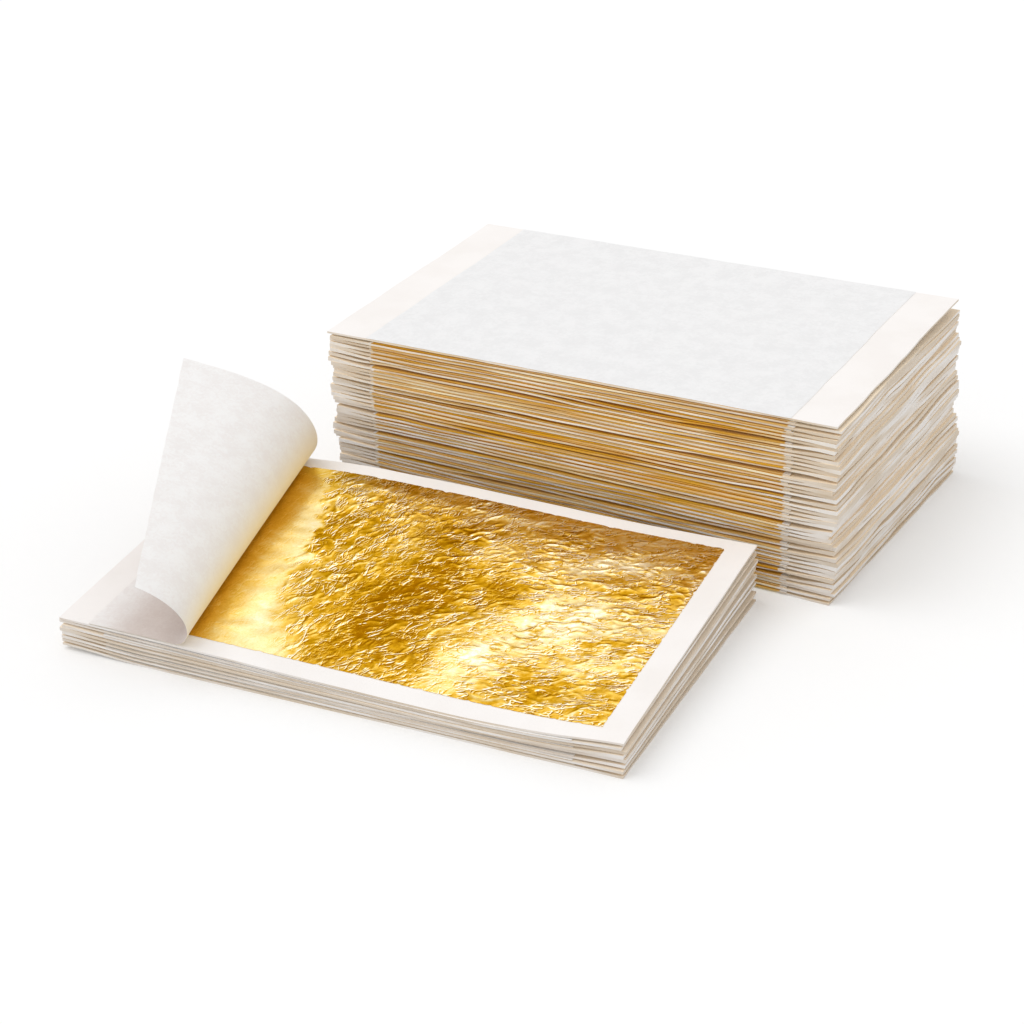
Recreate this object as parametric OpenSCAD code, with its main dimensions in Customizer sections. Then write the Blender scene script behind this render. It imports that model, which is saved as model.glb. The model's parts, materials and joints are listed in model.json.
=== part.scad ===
// Gold leaf between papers: an open pile with its top tissue peeled back, and a closed pile.
// A set is a backing paper, a gold leaf on it and a tissue over both.
// Lengths are in millimetres. X runs along the long side of the closed pile's sheets,
// Y runs from the open pile to the closed one, and Z is up from the table.

/* [Backing paper] */
// Long side of a backing paper
paper_length = 96; // [90:1:120]
// Short side of a backing paper
paper_width = 60; // [56:1:80]
// Thickness of a backing paper
paper_thickness = 0.35; // [0.2:0.01:0.5]

/* [Gold leaf] */
// Long side of a gold leaf
leaf_length = 80; // [60:1:82]
// Short side of a gold leaf
leaf_width = 54; // [40:1:55]
// Thickness of a gold leaf, drawn far thicker than the real one
leaf_thickness = 0.04; // [0.03:0.01:0.08]
// Bare paper to the right of a leaf in the open pile
open_right_margin = 4.5; // [2:0.5:8]
// Bare paper in front of a leaf in the open pile
open_front_margin = 3; // [1:0.5:4]

/* [Tissue] */
// How far a tissue reaches past each end of a leaf
tissue_overlap = 0; // [-1:0.5:3]
// Thickness of a tissue
tissue_thickness = 0.06; // [0.04:0.01:0.1]
// Gap that keeps two sheets of a set apart
sheet_gap = 0.02; // [0.01:0.01:0.05]

/* [Open pile] */
// Air between two sets at the front edge of the open pile
open_air_front = 0.31; // [0.1:0.01:0.4]
// Air between two sets at the back edge, where the sheets fan open
open_air_back = 1; // [0.3:0.05:1.1]
// Turn of the open pile against the closed pile, in degrees
open_turn = 5.3; // [0:0.1:10]
// Gap between the back right corner of the open pile and the front of the closed pile
piles_gap = 4.4; // [2:0.1:10]
// How far the open pile's back right corner lies left of the closed pile's right end
piles_shift = 10; // [0:0.1:20]
// How far the open pile leans to the left at its top
open_lean = 0.4; // [0:0.1:1]
// How far a sheet of the open pile may stray from its place
open_stray = 0.25; // [0:0.05:0.6]

/* [Closed pile] */
// Air between two sets at the front left corner of the closed pile
closed_air = 0.26; // [0.1:0.01:0.4]
// How much more air there is at the right end
closed_air_right = 0.03; // [0:0.01:0.1]
// How much more air there is at the back edge
closed_air_back = 0.045; // [0:0.005:0.1]
// Sets in each packet of the closed pile
packet_sets = 4; // [2:1:5]
// How far the closed pile leans to the left, mostly in its lower half
closed_lean = 1.3; // [0:0.1:3]
// How far its top set lies to the left of the sets below
closed_overhang = 0.6; // [0:0.1:1]
// Turn of the closed pile's top against its bottom, in degrees
closed_twist = 1.1; // [0:0.1:3]
// How far the ends of the closed pile's papers drift to one side and back, a few papers at a time
closed_drift = 0.6; // [0:0.05:0.8]
// Papers over which such a drift goes from one side to the other
drift_papers = 3; // [1:1:8]
// How far a sheet of the closed pile may stray from its place beside its neighbours
closed_stray = 0.25; // [0:0.05:0.5]
// Turn that a stray sheet may have, in degrees
stray_turn = 0.35; // [0:0.05:0.6]

/* [Peeled tissue] */
// Bare paper to the left of the peeled tissue
peeled_margin = 5.4; // [3:0.1:7]
// Cut length of the peeled tissue along its front edge
peeled_front_length = 31.9; // [28:0.1:36]
// Cut length of the peeled tissue along its back edge
peeled_back_length = 41.5; // [38:0.5:46]
// Where it leaves the pile at the front edge, from the left end of the paper
lift_front = 20.9; // [18:0.1:24]
// Where it leaves the pile at the back edge, from the left end of the paper
lift_back = 11; // [9:0.1:14]
// Distance from the front edge of the pile to the point where the curl's straight lines meet
curl_apex = 145; // [90:1:200]
// Angle that the curl would turn through if it never opened again, in degrees
curl_turn = 187.5; // [170:0.5:210]
// Length over which the curl takes up most of that angle, measured at the front edge
curl_length = 7.4; // [6:0.1:9]
// How much the curl opens again, in degrees for each millimetre
curl_opening = 0.65; // [0.4:0.05:1.4]

/* [Hidden] */
open_sets = 8;
closed_packets = 10;
closed_sets = closed_packets * packet_sets + 1;

flat_columns = 3;     // columns of the peeled tissue's surface where it lies flat
curl_columns = 26;    // columns where it curls
curl_rows = 6;        // rows from its front edge to its back edge
column_spread = 1.5;  // how much closer the columns lie at the start of the curl
sum_steps = 240;      // steps of the sums that give the curl's section
section_reach = 0.42; // length of that section at unit distance from the apex

stray_wave = [127.1, 311.7]; // degrees that each sheet and each stream add to a stray sheet's sine
stray_scale = 43758.5;       // scale at which only that sine's last digits count

paper_colour = "#f6efe6";
leaf_colour = "#d9a92c";
tissue_colour = "#eceae8";

tissue_length = leaf_length + 2 * tissue_overlap;

leaf_rise = paper_thickness + sheet_gap;
tissue_rise = leaf_rise + leaf_thickness + sheet_gap;
set_thickness = tissue_rise + tissue_thickness;

open_step = set_thickness + open_air_front;
open_tilt = atan((open_air_back - open_air_front) / paper_width);
open_leaf_place = [paper_length - open_right_margin - leaf_length, open_front_margin];

closed_step = set_thickness + closed_air;
closed_tilt_back = atan(closed_air_back / paper_width);
closed_tilt_right = atan(closed_air_right / paper_length);
closed_leaf_place = [(paper_length - leaf_length) / 2, 0];
tissue_place = closed_leaf_place - [tissue_overlap, 0];

// A number between -1 and 1 that looks random, the same at each build.
// Each use has its own stream, and a shift takes two of them, for X and for Y.
function stray(n, stream) =
    let (v = sin(n * stray_wave.x + stream * stray_wave.y) * stray_scale) 2 * (v - floor(v)) - 1;

function turned(p, angle) =
    [p.x * cos(angle) - p.y * sin(angle), p.x * sin(angle) + p.y * cos(angle)];

function running_sum(v) =
    [for (sum = 0, i = 0; i < len(v); sum = sum + v[i], i = i + 1) sum + v[i]];

// Places of the open pile's sheets. Set 1 lies on the table and the top set doesn't stray.
function open_share(i) = (i - 1) / (open_sets - 1);
open_corner = [paper_length - piles_shift, -piles_gap]
    - turned([paper_length, paper_width], open_turn);
function open_shift(i, stream) =
    [open_lean * (1 - open_share(i)), 0]
    + (i == open_sets ? [0, 0] : open_stray * [stray(i, stream), stray(i, stream + 1) / 2]);
function open_skew(i) = i == open_sets ? 0 : stray_turn * stray(i, 7);

// Places of the closed pile's sheets. Sheet 0 lies on the table.
function closed_share(n) = n / (closed_sets - 1);
function closed_shift(n, stream) =
    [closed_lean * pow(1 - closed_share(n), 2), 0]
    + (n == closed_sets - 1 ? [0, 0] :
       [closed_overhang, 0] + closed_stray * [stray(n, stream), stray(n, stream + 1) / 2]);
function drift(n) =
    let (step = floor(n / drift_papers), part = n / drift_papers - step,
         share = (1 - cos(180 * part)) / 2)
    (1 - share) * stray(step, 9) + share * stray(step + 1, 9);
function closed_paper_shift(n) =
    closed_shift(n, 11) + [n == closed_sets - 1 ? 0 : closed_drift * drift(n), 0];
function closed_skew(n) =
    closed_twist * closed_share(n) + (n == closed_sets - 1 ? 0 : stray_turn * stray(n, 17));

// Section of the curl at unit distance from its apex: how far it has turned, and where it is
function curl_bend(s) =
    curl_turn * (1 - exp(-s * curl_apex / curl_length)) - curl_opening * curl_apex * s;
sum_step = section_reach / sum_steps;
section_bend = [for (k = [0 : sum_steps]) curl_bend(k * sum_step)];
section_right = running_sum(
    [for (k = [0 : sum_steps]) k == 0 ? 0 : sum_step * cos(curl_bend((k - 0.5) * sum_step))]);
section_up = running_sum(
    [for (k = [0 : sum_steps]) k == 0 ? 0 : sum_step * sin(curl_bend((k - 0.5) * sum_step))]);
function section_ray(k) =
    let (ray = [section_right[k], 1, section_up[k]]) ray / norm(ray);
function ray_angle(k) = 2 * asin(norm(section_ray(k) - section_ray(k - 1)) / 2);
section_angle = running_sum([for (k = [0 : sum_steps]) k == 0 ? 0 : ray_angle(k)]);
function section_table(values) = [for (k = [0 : sum_steps]) [section_angle[k], values[k]]];
right_table = section_table(section_right);
up_table = section_table(section_up);
bend_table = section_table(section_bend);

// The line along which the tissue leaves the pile, and the apex on it
lift_run = [lift_back - lift_front, paper_width];
lift_line = lift_run / norm(lift_run);
lift_side = [lift_line.y, -lift_line.x];
apex = [lift_front, 0] - lift_line * curl_apex / lift_line.y;

// Point of the peeled tissue above the point flat of the paper, and the way its upper face looks
function flat_angle(flat) = atan2((flat - apex) * lift_side, (flat - apex) * lift_line);
function curled_point(flat) =
    let (angle = flat_angle(flat),
         ray = [lookup(angle, right_table), 1, lookup(angle, up_table)],
         reach = norm(flat - apex) / norm(ray))
    angle <= 0 ? [flat.x, flat.y, 0] :
    concat(apex + reach * (lift_line + ray.x * lift_side), reach * ray.z);
function curled_normal(flat) =
    let (angle = flat_angle(flat), bend = angle <= 0 ? 0 : lookup(angle, bend_table))
    concat(-sin(bend) * lift_side, cos(bend));

// Where a column of the tissue's surface meets its front edge and its back edge
last_column = flat_columns + curl_columns;
function column_place(column, lift, free) =
    column <= flat_columns ? peeled_margin + (lift - peeled_margin) * column / flat_columns :
    lift + (free - lift) * pow((column - flat_columns) / curl_columns, column_spread);
function column_point(column, row) =
    let (front = column_place(column, lift_front, peeled_margin + peeled_front_length),
         back = column_place(column, lift_back, peeled_margin + peeled_back_length))
    [front + (back - front) * row / curl_rows, paper_width * row / curl_rows];

// Extents of the whole set on the table, and their middle
function open_on_table(p) = open_corner + turned([p.x, p.y], open_turn);
function sheet_corner(u, v, shift, skew) =
    let (middle = [paper_length, paper_width] / 2)
    middle + shift + turned([u * middle.x, v * middle.y], skew);
open_corners = [for (i = [1 : open_sets], u = [-1, 1], v = [-1, 1])
    open_on_table(sheet_corner(u, v, open_shift(i, 1), open_skew(i)))];
closed_corners = [for (n = [0 : closed_sets - 1], u = [-1, 1], v = [-1, 1])
    sheet_corner(u, v, closed_paper_shift(n), closed_skew(n))];
top_tilt = open_tilt * (open_sets - 1);
free_edge = [for (row = [0 : curl_rows])
    let (p = curled_point(column_point(last_column, row)))
    open_on_table([p.x, p.y * cos(top_tilt) - (p.z + tissue_rise) * sin(top_tilt)])];
all_corners = concat(open_corners, closed_corners, free_edge);
function middle_of(values) = (min(values) + max(values)) / 2;
set_middle = [middle_of([for (p = all_corners) p.x]), middle_of([for (p = all_corners) p.y])];

// Puts a sheet of the given size in its place in the frame of one set
module sheet(size, place, rise, shift, skew) {
    middle = [paper_length, paper_width] / 2;
    translate([middle.x + shift.x, middle.y + shift.y, rise])
        rotate(skew)
        translate([place.x - middle.x, place.y - middle.y, 0])
        cube(size);
}

module in_open_pile(i) {
    translate([open_corner.x - set_middle.x, open_corner.y - set_middle.y, open_step * (i - 1)])
        rotate(open_turn)
        rotate([open_tilt * (i - 1), 0, 0])
        children();
}

module in_closed_pile(n) {
    translate([-set_middle.x, -set_middle.y, closed_step * n])
        rotate([closed_tilt_back * n, -closed_tilt_right * n, 0])
        children();
}

module open_backing(i) {
    color(paper_colour)
        in_open_pile(i)
        sheet([paper_length, paper_width, paper_thickness], [0, 0], 0,
            open_shift(i, 1), open_skew(i));
}

module open_leaf(i) {
    color(leaf_colour)
        in_open_pile(i)
        sheet([leaf_length, leaf_width, leaf_thickness], open_leaf_place, leaf_rise,
            open_shift(i, 3), open_skew(i));
}

module open_tissue(i) {
    color(tissue_colour)
        in_open_pile(i)
        sheet([tissue_length, paper_width, tissue_thickness], tissue_place, tissue_rise,
            open_shift(i, 5), open_skew(i));
}

// The top tissue: flat at its held edge, then curled up and over as part of a cone
module peeled_tissue() {
    row_points = curl_rows + 1;
    skin_points = (last_column + 1) * row_points;
    points = [for (skin = [0, 1], column = [0 : last_column], row = [0 : curl_rows])
        let (flat = column_point(column, row))
        curled_point(flat) + skin * tissue_thickness * curled_normal(flat)];
    function at(column, row, skin) = skin * skin_points + column * row_points + row;
    lower = [for (c = [0 : last_column - 1], r = [0 : curl_rows - 1]) each
        [[at(c, r, 0), at(c + 1, r, 0), at(c + 1, r + 1, 0)],
         [at(c, r, 0), at(c + 1, r + 1, 0), at(c, r + 1, 0)]]];
    upper = [for (face = lower) [face[2] + skin_points, face[1] + skin_points, face[0] + skin_points]];
    rim = concat(
        [for (c = [0 : last_column]) [c, 0]],
        [for (r = [1 : curl_rows]) [last_column, r]],
        [for (c = [last_column - 1 : -1 : 0]) [c, curl_rows]],
        [for (r = [curl_rows - 1 : -1 : 1]) [0, r]]);
    edges = [for (i = [0 : len(rim) - 1])
        let (a = rim[i], b = rim[(i + 1) % len(rim)]) each
        [[at(a.x, a.y, 0), at(a.x, a.y, 1), at(b.x, b.y, 1)],
         [at(a.x, a.y, 0), at(b.x, b.y, 1), at(b.x, b.y, 0)]]];
    color(tissue_colour)
        in_open_pile(open_sets)
        translate([0, 0, tissue_rise])
        polyhedron(points, concat(lower, upper, edges));
}

module closed_backing(n) {
    color(paper_colour)
        in_closed_pile(n)
        sheet([paper_length, paper_width, paper_thickness], [0, 0], 0,
            closed_paper_shift(n), closed_skew(n));
}

module closed_leaf(n) {
    color(leaf_colour)
        in_closed_pile(n)
        sheet([leaf_length, leaf_width, leaf_thickness], closed_leaf_place, leaf_rise,
            closed_shift(n, 13), closed_skew(n));
}

module closed_tissue(n) {
    color(tissue_colour)
        in_closed_pile(n)
        sheet([tissue_length, paper_width, tissue_thickness], tissue_place, tissue_rise,
            closed_shift(n, 15), closed_skew(n));
}

// The sheets of one packet of the closed pile, from its lowest set to its highest
function packet(k) = [(k - 1) * packet_sets : k * packet_sets - 1];

for (i = [1 : open_sets])
    open_backing(i);
for (i = [1 : open_sets - 1])
    open_leaf(i);
for (i = [1 : open_sets - 1])
    open_tissue(i);
open_leaf(open_sets);  // exposed_leaf
peeled_tissue();
for (k = [1 : closed_packets])
    for (n = packet(k)) closed_backing(n);
for (k = [1 : closed_packets])
    for (n = packet(k)) closed_leaf(n);
for (k = [1 : closed_packets])
    for (n = packet(k)) closed_tissue(n);
closed_backing(closed_sets - 1);  // closed_top_backing
closed_leaf(closed_sets - 1);  // closed_top_leaf
closed_tissue(closed_sets - 1);  // closed_top_tissue
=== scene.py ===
import json
import math
from functools import reduce

import bmesh
import bpy
import numpy as np
from mathutils import Matrix, Vector


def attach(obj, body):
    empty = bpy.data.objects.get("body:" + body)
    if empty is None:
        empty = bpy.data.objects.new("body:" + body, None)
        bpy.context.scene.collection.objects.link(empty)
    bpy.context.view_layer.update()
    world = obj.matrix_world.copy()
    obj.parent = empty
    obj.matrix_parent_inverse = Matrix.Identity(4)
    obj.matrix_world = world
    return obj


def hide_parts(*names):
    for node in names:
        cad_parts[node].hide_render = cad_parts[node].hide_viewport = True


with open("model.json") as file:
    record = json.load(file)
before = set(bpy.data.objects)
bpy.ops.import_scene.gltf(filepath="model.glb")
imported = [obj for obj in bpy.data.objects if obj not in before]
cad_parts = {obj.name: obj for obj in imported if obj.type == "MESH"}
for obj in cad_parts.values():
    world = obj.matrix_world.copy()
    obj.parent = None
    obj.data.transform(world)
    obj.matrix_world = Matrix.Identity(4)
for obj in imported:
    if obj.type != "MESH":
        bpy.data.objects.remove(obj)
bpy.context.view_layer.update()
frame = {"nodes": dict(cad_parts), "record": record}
mm = 0.001
nodeBody = {node: body for body, nodes in frame["record"]["behaviour"]["bodies"].items() for node in nodes}
print("frame loaded,", len(frame["nodes"]), "nodes")


# Building blocks for node trees, objects and meshes

def put(tree, kind, links=None, **settings):  # a new node, its settings, and what feeds each of its inputs
    node = tree.nodes.new(kind)
    for name, value in settings.items():
        setattr(node, name, value)
    for key, value in (links or {}).items():
        if isinstance(value, bpy.types.NodeSocket):
            tree.links.new(value, node.inputs[key])
        else:
            node.inputs[key].default_value = value
    return node


def sums(tree, operation, *values):  # a Math node
    node = put(tree, "ShaderNodeMath", dict(enumerate(values)), operation=operation)
    return node.outputs[0]


def plus(tree, *values):
    return reduce(lambda total, value: sums(tree, "ADD", total, value), values)


def less(tree, value, taken):
    return sums(tree, "SUBTRACT", value, taken)


def times(tree, *values):
    return reduce(lambda product, value: sums(tree, "MULTIPLY", product, value), values)


def over(tree, value, size):
    return sums(tree, "DIVIDE", value, size)


def scaled(tree, value, factor, added):
    return sums(tree, "MULTIPLY_ADD", value, factor, added)


def ramped(tree, value, low, high, toLow=0.0, toHigh=1.0):  # a value taken smoothly from one range to another
    links = {"Value": value, "From Min": low, "From Max": high, "To Min": toLow, "To Max": toHigh}
    return put(tree, "ShaderNodeMapRange", links, interpolation_type="SMOOTHSTEP").outputs["Result"]


def blended(tree, share, first, second, blend="MIX"):  # two colours mixed
    node = put(tree, "ShaderNodeMix", {0: share, 6: first, 7: second}, data_type="RGBA", blend_type=blend)
    return node.outputs[2]


def vectors(tree, operation, first, second):  # a Vector Math node
    return put(tree, "ShaderNodeVectorMath", {0: first, 1: second}, operation=operation).outputs[0]


def joinedUp(tree, x, y, z):  # a vector from three numbers
    return put(tree, "ShaderNodeCombineXYZ", {0: x, 1: y, 2: z}).outputs[0]


def splitUp(tree, vector):  # the three numbers of a vector
    return put(tree, "ShaderNodeSeparateXYZ", {0: vector}).outputs


def speckle(tree, vector, scale, detail=2.0, roughness=0.5, distortion=0.0):  # noise from 0 to 1
    return put(tree, "ShaderNodeTexNoise", {
        "Vector": vector, "Scale": scale, "Detail": detail, "Roughness": roughness,
        "Distortion": distortion}).outputs[0]


def openGroup(name, kind, inputs, outputs):  # an empty group; an input is named with its default or its kind
    tree = bpy.data.node_groups.new(name, kind)
    for label, value in inputs.items():
        socket = value if isinstance(value, str) else "Int" if isinstance(value, int) else "Float"
        made = tree.interface.new_socket(label, in_out="INPUT", socket_type="NodeSocket" + socket)
        if socket != value:
            made.default_value = value
    for label, socket in outputs.items():
        tree.interface.new_socket(label, in_out="OUTPUT", socket_type="NodeSocket" + socket)
    return tree, tree.nodes.new("NodeGroupInput"), tree.nodes.new("NodeGroupOutput")


def grouped(tree, group, links):  # a shared group placed in a material
    return put(tree, "ShaderNodeGroup", links, node_tree=group)


def newObject(name, data):
    piece = bpy.data.objects.new(name, data)
    bpy.context.scene.collection.objects.link(piece)
    return piece


def store(mesh, label, values, kind="FLOAT"):  # a value on each point of a mesh, which nodes read by its name
    made = mesh.attributes.new(label, kind, "POINT")
    made.data.foreach_set("vector" if kind == "FLOAT_VECTOR" else "value", values)


# The camera, at the photograph's angle

cameraSettings = {
    "lens": 83.41, "sensor": 36.0,
    "place": (177.85, -320.78, 184.77),   # mm
    "pitch": 25.85, "heading": 29.05}      # degrees below the horizon, and left of +Y


def addCamera(s):
    data = bpy.data.cameras.new("camera")
    data.lens, data.sensor_width = s["lens"], s["sensor"]
    data.clip_start, data.clip_end = 0.01, 20
    camera = newObject("camera", data)
    camera.location = Vector(s["place"]) * mm
    camera.rotation_euler = (math.radians(90 - s["pitch"]), 0, math.radians(s["heading"]))
    bpy.context.scene.camera = camera


addCamera(cameraSettings)


# Where each sheet of a node lies: its front left corner, its turn and its size

def sheetsOf(node):
    mesh = bmesh.new()
    mesh.from_mesh(frame["nodes"][node].data)
    bmesh.ops.remove_doubles(mesh, verts=mesh.verts, dist=1e-6)
    left, sheets = set(mesh.verts), []
    while left:
        island, front = set(), [next(iter(left))]
        while front:
            vert = front.pop()
            if vert not in island:
                island.add(vert)
                front += [edge.other_vert(vert) for edge in vert.link_edges]
        left -= island
        sheets.append(slab(np.array([vert.co for vert in island], float)))
    mesh.free()
    return sorted(sheets, key=lambda sheet: sheet["corner"][2])


def slab(corners):  # a box's lowest corner, axes and size, from its eight corners
    middle = corners.mean(0)
    axes = np.linalg.eigh(np.cov((corners - middle).T))[1].T[::-1]
    axes = np.array([axis if axis[i] > 0 else -axis for i, axis in enumerate(axes)])
    local = (corners - middle) @ axes.T
    return {
        "corner": middle + local.min(0) @ axes, "axes": axes, "size": np.ptp(local, axis=0),
        "turn": Matrix(axes.T.tolist()).to_euler()}


# A stack of loose sheets: they close up in clumps, cockle together, wave at their ends and end unevenly

stackReach = {  # in metres, but for the wave
    "hangAcross": 0.04, "hangFrom": 0.014,  # where the hanging corner starts, from the right and the front
    "swell": 0.008,                         # how far in from its ends a paper looks thicker
    "wave": 0.55}                           # where waves start, as a share of the way from middle to end


def sheetStack(s):
    tree, given, out = openGroup("sheetStack", "GeometryNodeTree", {
        "Places": "Geometry", "Length": 0.096, "Width": 0.06, "Thickness": 0.00035, "Swell": 0.0,
        "Columns": 65, "Rows": 33,
        "Clump": 0.0002, "Clump Sheets": 3.5, "Clump Size": 0.03, "Clump Turns": 0.6,
        "Cockle": 0.0003, "Cockle Size": 0.03, "Wave": 0.0002, "Wave Size": 0.01, "Wave Sheets": 8.0,
        "Hang": 0.0, "Unevenness": 0.0001, "Unevenness Size": 0.018, "Unevenness Sheets": 2.5,
        "Seed": 1.0, "Material": "Material"}, {"Sheets": "Geometry"})
    g = given.outputs
    grid = put(tree, "GeometryNodeMeshGrid", {
        "Size X": g["Length"], "Size Y": g["Width"], "Vertices X": g["Columns"], "Vertices Y": g["Rows"]})
    fromCorner = joinedUp(tree, times(tree, g["Length"], 0.5), times(tree, g["Width"], 0.5), 0.0)
    sheet = put(tree, "GeometryNodeSetPosition", {"Geometry": grid.outputs["Mesh"], "Offset": fromCorner})
    marked = put(tree, "GeometryNodeStoreNamedAttribute", {
        "Geometry": sheet.outputs[0], "Name": "sheetPlace",
        "Value": put(tree, "GeometryNodeInputPosition").outputs[0]}, data_type="FLOAT_VECTOR", domain="POINT")

    def stored(name, kind="FLOAT"):  # a value that the mesh carries under that name
        return put(tree, "GeometryNodeInputNamedAttribute", {"Name": name}, data_type=kind).outputs[0]

    turned = put(tree, "FunctionNodeEulerToRotation", {0: stored("turn", "FLOAT_VECTOR")}).outputs[0]
    placed = put(tree, "GeometryNodeInstanceOnPoints", {
        "Points": g["Places"], "Instance": marked.outputs[0], "Rotation": turned})
    real = put(tree, "GeometryNodeRealizeInstances", {"Geometry": placed.outputs[0]})
    level, loose, hang = stored("level"), stored("loose"), stored("hang")
    where = splitUp(tree, put(tree, "GeometryNodeInputPosition").outputs[0])
    onSheet = splitUp(tree, stored("sheetPlace", "FLOAT_VECTOR"))

    def swing(size, sheets, offset, detail):  # noise from -1 to 1 over the table and up the pile
        upward = plus(tree, over(tree, level, sheets), plus(tree, g["Seed"], offset))
        across, deep = (over(tree, where[i], size) for i in range(2))
        at = joinedUp(tree, across, deep, upward)
        return scaled(tree, speckle(tree, at, 1.0, detail, 0.45), 2.0, -1.0)

    turns = scaled(tree, swing(g["Clump Size"], 9.0, 3.0, 1.0), g["Clump Turns"],
                   over(tree, level, g["Clump Sheets"]))
    closing = sums(tree, "SINE", times(tree, turns, 2 * math.pi))
    for k in (2, 3):  # a gap between two clumps opens over fewer sheets than a clump has
        again = sums(tree, "SINE", times(tree, turns, 2 * math.pi * k))
        closing = scaled(tree, again, 1 / k, closing)
    clump = times(tree, closing, g["Clump"])
    cockle = times(tree, swing(g["Cockle Size"], 8.0, 0.0, 1.0), g["Cockle"])
    fromMiddle = scaled(tree, over(tree, onSheet[0], g["Length"]), 2.0, -1.0)
    wave = times(tree, swing(g["Wave Size"], g["Wave Sheets"], 7.0, 1.5), g["Wave"],
                 ramped(tree, sums(tree, "ABSOLUTE", fromMiddle), s["wave"], 1.0))
    lift = times(tree, plus(tree, clump, cockle, wave), loose)
    fromRight = less(tree, g["Length"], onSheet[0])
    corner = times(tree, ramped(tree, fromRight, 0.0, s["hangAcross"], 1.0, 0.0),
                   ramped(tree, onSheet[1], s["hangFrom"], g["Width"]))
    lift = less(tree, lift, times(tree, corner, hang, g["Hang"]))

    def unevenness(along, across, size, offset):  # how far the outline strays, most at the two far ends
        at = joinedUp(
            tree, over(tree, along, g["Unevenness Size"]),
            over(tree, level, g["Unevenness Sheets"]), plus(tree, g["Seed"], offset))
        wander = scaled(tree, speckle(tree, at, 1.0, 2.0), 2.0, -1.0)
        side = scaled(tree, over(tree, across, size), 2.0, -1.0)
        return times(tree, wander, times(tree, side, g["Unevenness"]))

    strayed = joinedUp(
        tree, unevenness(onSheet[1], onSheet[0], g["Length"], 10.0),
        unevenness(onSheet[0], onSheet[1], g["Width"], 20.0), lift)
    moved = put(tree, "GeometryNodeSetPosition", {"Geometry": real.outputs[0], "Offset": strayed})
    fromEnd = sums(tree, "MINIMUM", onSheet[0], fromRight)
    swell = times(tree, ramped(tree, fromEnd, 0.0, s["swell"], 1.0, 0.0), loose, g["Swell"])
    thick = put(tree, "GeometryNodeExtrudeMesh", {
        "Mesh": moved.outputs[0], "Offset Scale": plus(tree, g["Thickness"], swell),
        "Individual": False}, mode="FACES")
    edged = put(tree, "GeometryNodeStoreNamedAttribute", {
        "Geometry": thick.outputs["Mesh"], "Name": "cutEdge", "Value": thick.outputs["Side"]},
        data_type="FLOAT", domain="FACE")
    under = put(tree, "GeometryNodeFlipFaces", {"Mesh": moved.outputs[0]})
    both = put(tree, "GeometryNodeJoinGeometry")
    tree.links.new(under.outputs[0], both.inputs[0])
    tree.links.new(edged.outputs[0], both.inputs[0])
    closed = put(tree, "GeometryNodeMergeByDistance", {"Geometry": both.outputs[0], "Distance": 1e-6})
    smooth = put(tree, "GeometryNodeSetShadeSmooth", {
        0: closed.outputs[0], "Shade Smooth": sums(tree, "LESS_THAN", stored("cutEdge"), 0.5)})
    sharp = put(tree, "GeometryNodeSetShadeSmooth", {
        0: smooth.outputs[0],
        "Shade Smooth": sums(tree, "LESS_THAN", stored("cutEdge"), 0.25)}, domain="EDGE")
    solid = put(tree, "GeometryNodeRealizeInstances", {"Geometry": sharp.outputs[0]})
    finish = put(tree, "GeometryNodeSetMaterial", {"Geometry": solid.outputs[0], "Material": g["Material"]})
    tree.links.new(finish.outputs[0], out.inputs["Sheets"])
    return tree


def grown(name, mesh, tree, inputs):  # what a tree makes of a mesh, as a plain mesh in an object of that name
    seedling = newObject(name + "Places", mesh)
    modifier = seedling.modifiers.new("nodes", "NODES")
    modifier.node_group = tree
    sockets = {item.name: item.identifier for item in tree.interface.items_tree if item.in_out == "INPUT"}
    for label, value in inputs.items():
        modifier[sockets[label]] = value
    bpy.context.view_layer.update()
    evaluated = seedling.evaluated_get(bpy.context.evaluated_depsgraph_get())
    piece = newObject(name, bpy.data.meshes.new_from_object(evaluated))
    piece.data.name = name
    seedling.modifiers.remove(modifier)
    bpy.data.objects.remove(seedling)
    return piece


# Paper, tissue and gold

def paperGrain():  # fine tooth and faint clouding of a paper's face
    tree, given, out = openGroup("paperGrain", "ShaderNodeTree", {
        "Vector": "Vector", "Fibre Size": 0.0004, "Cloud Size": 0.008}, {
        "Clouds": "Float", "Height": "Float"})
    g = given.outputs
    cloud = speckle(tree, g["Vector"], over(tree, 1.0, g["Cloud Size"]), 4.0)
    fibre = speckle(tree, g["Vector"], over(tree, 1.0, g["Fibre Size"]), 3.0, 0.5, 1.2)
    tree.links.new(cloud, out.inputs["Clouds"])
    tree.links.new(fibre, out.inputs["Height"])
    return tree


# gold dust on front edges and faces, partly painted: gold reflection and shade inside the gaps between sheets
giltAndShadeLook = {
    "dark": (0.78, 0.41, 0.014, 1), "light": (1.0, 0.93, 0.71, 1),
    "streak": (0.1, 0.0012, 0.34),  # a streak's length and width in metres, and in sheets up the pile
    "streakSeen": (0.37, 0.58),     # the noise over which a streak goes from dark to light
    "patch": (1.6, 1.0, 1.7),       # how much finer the bare patches are than the streaks
    "fray": 0.06,                   # how softly the gilding ends
    "band": (7.0, 0.3),             # how fast its bareness changes along the pile and up it
    "swing": 0.25}                  # how much it changes on cut edges


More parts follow.
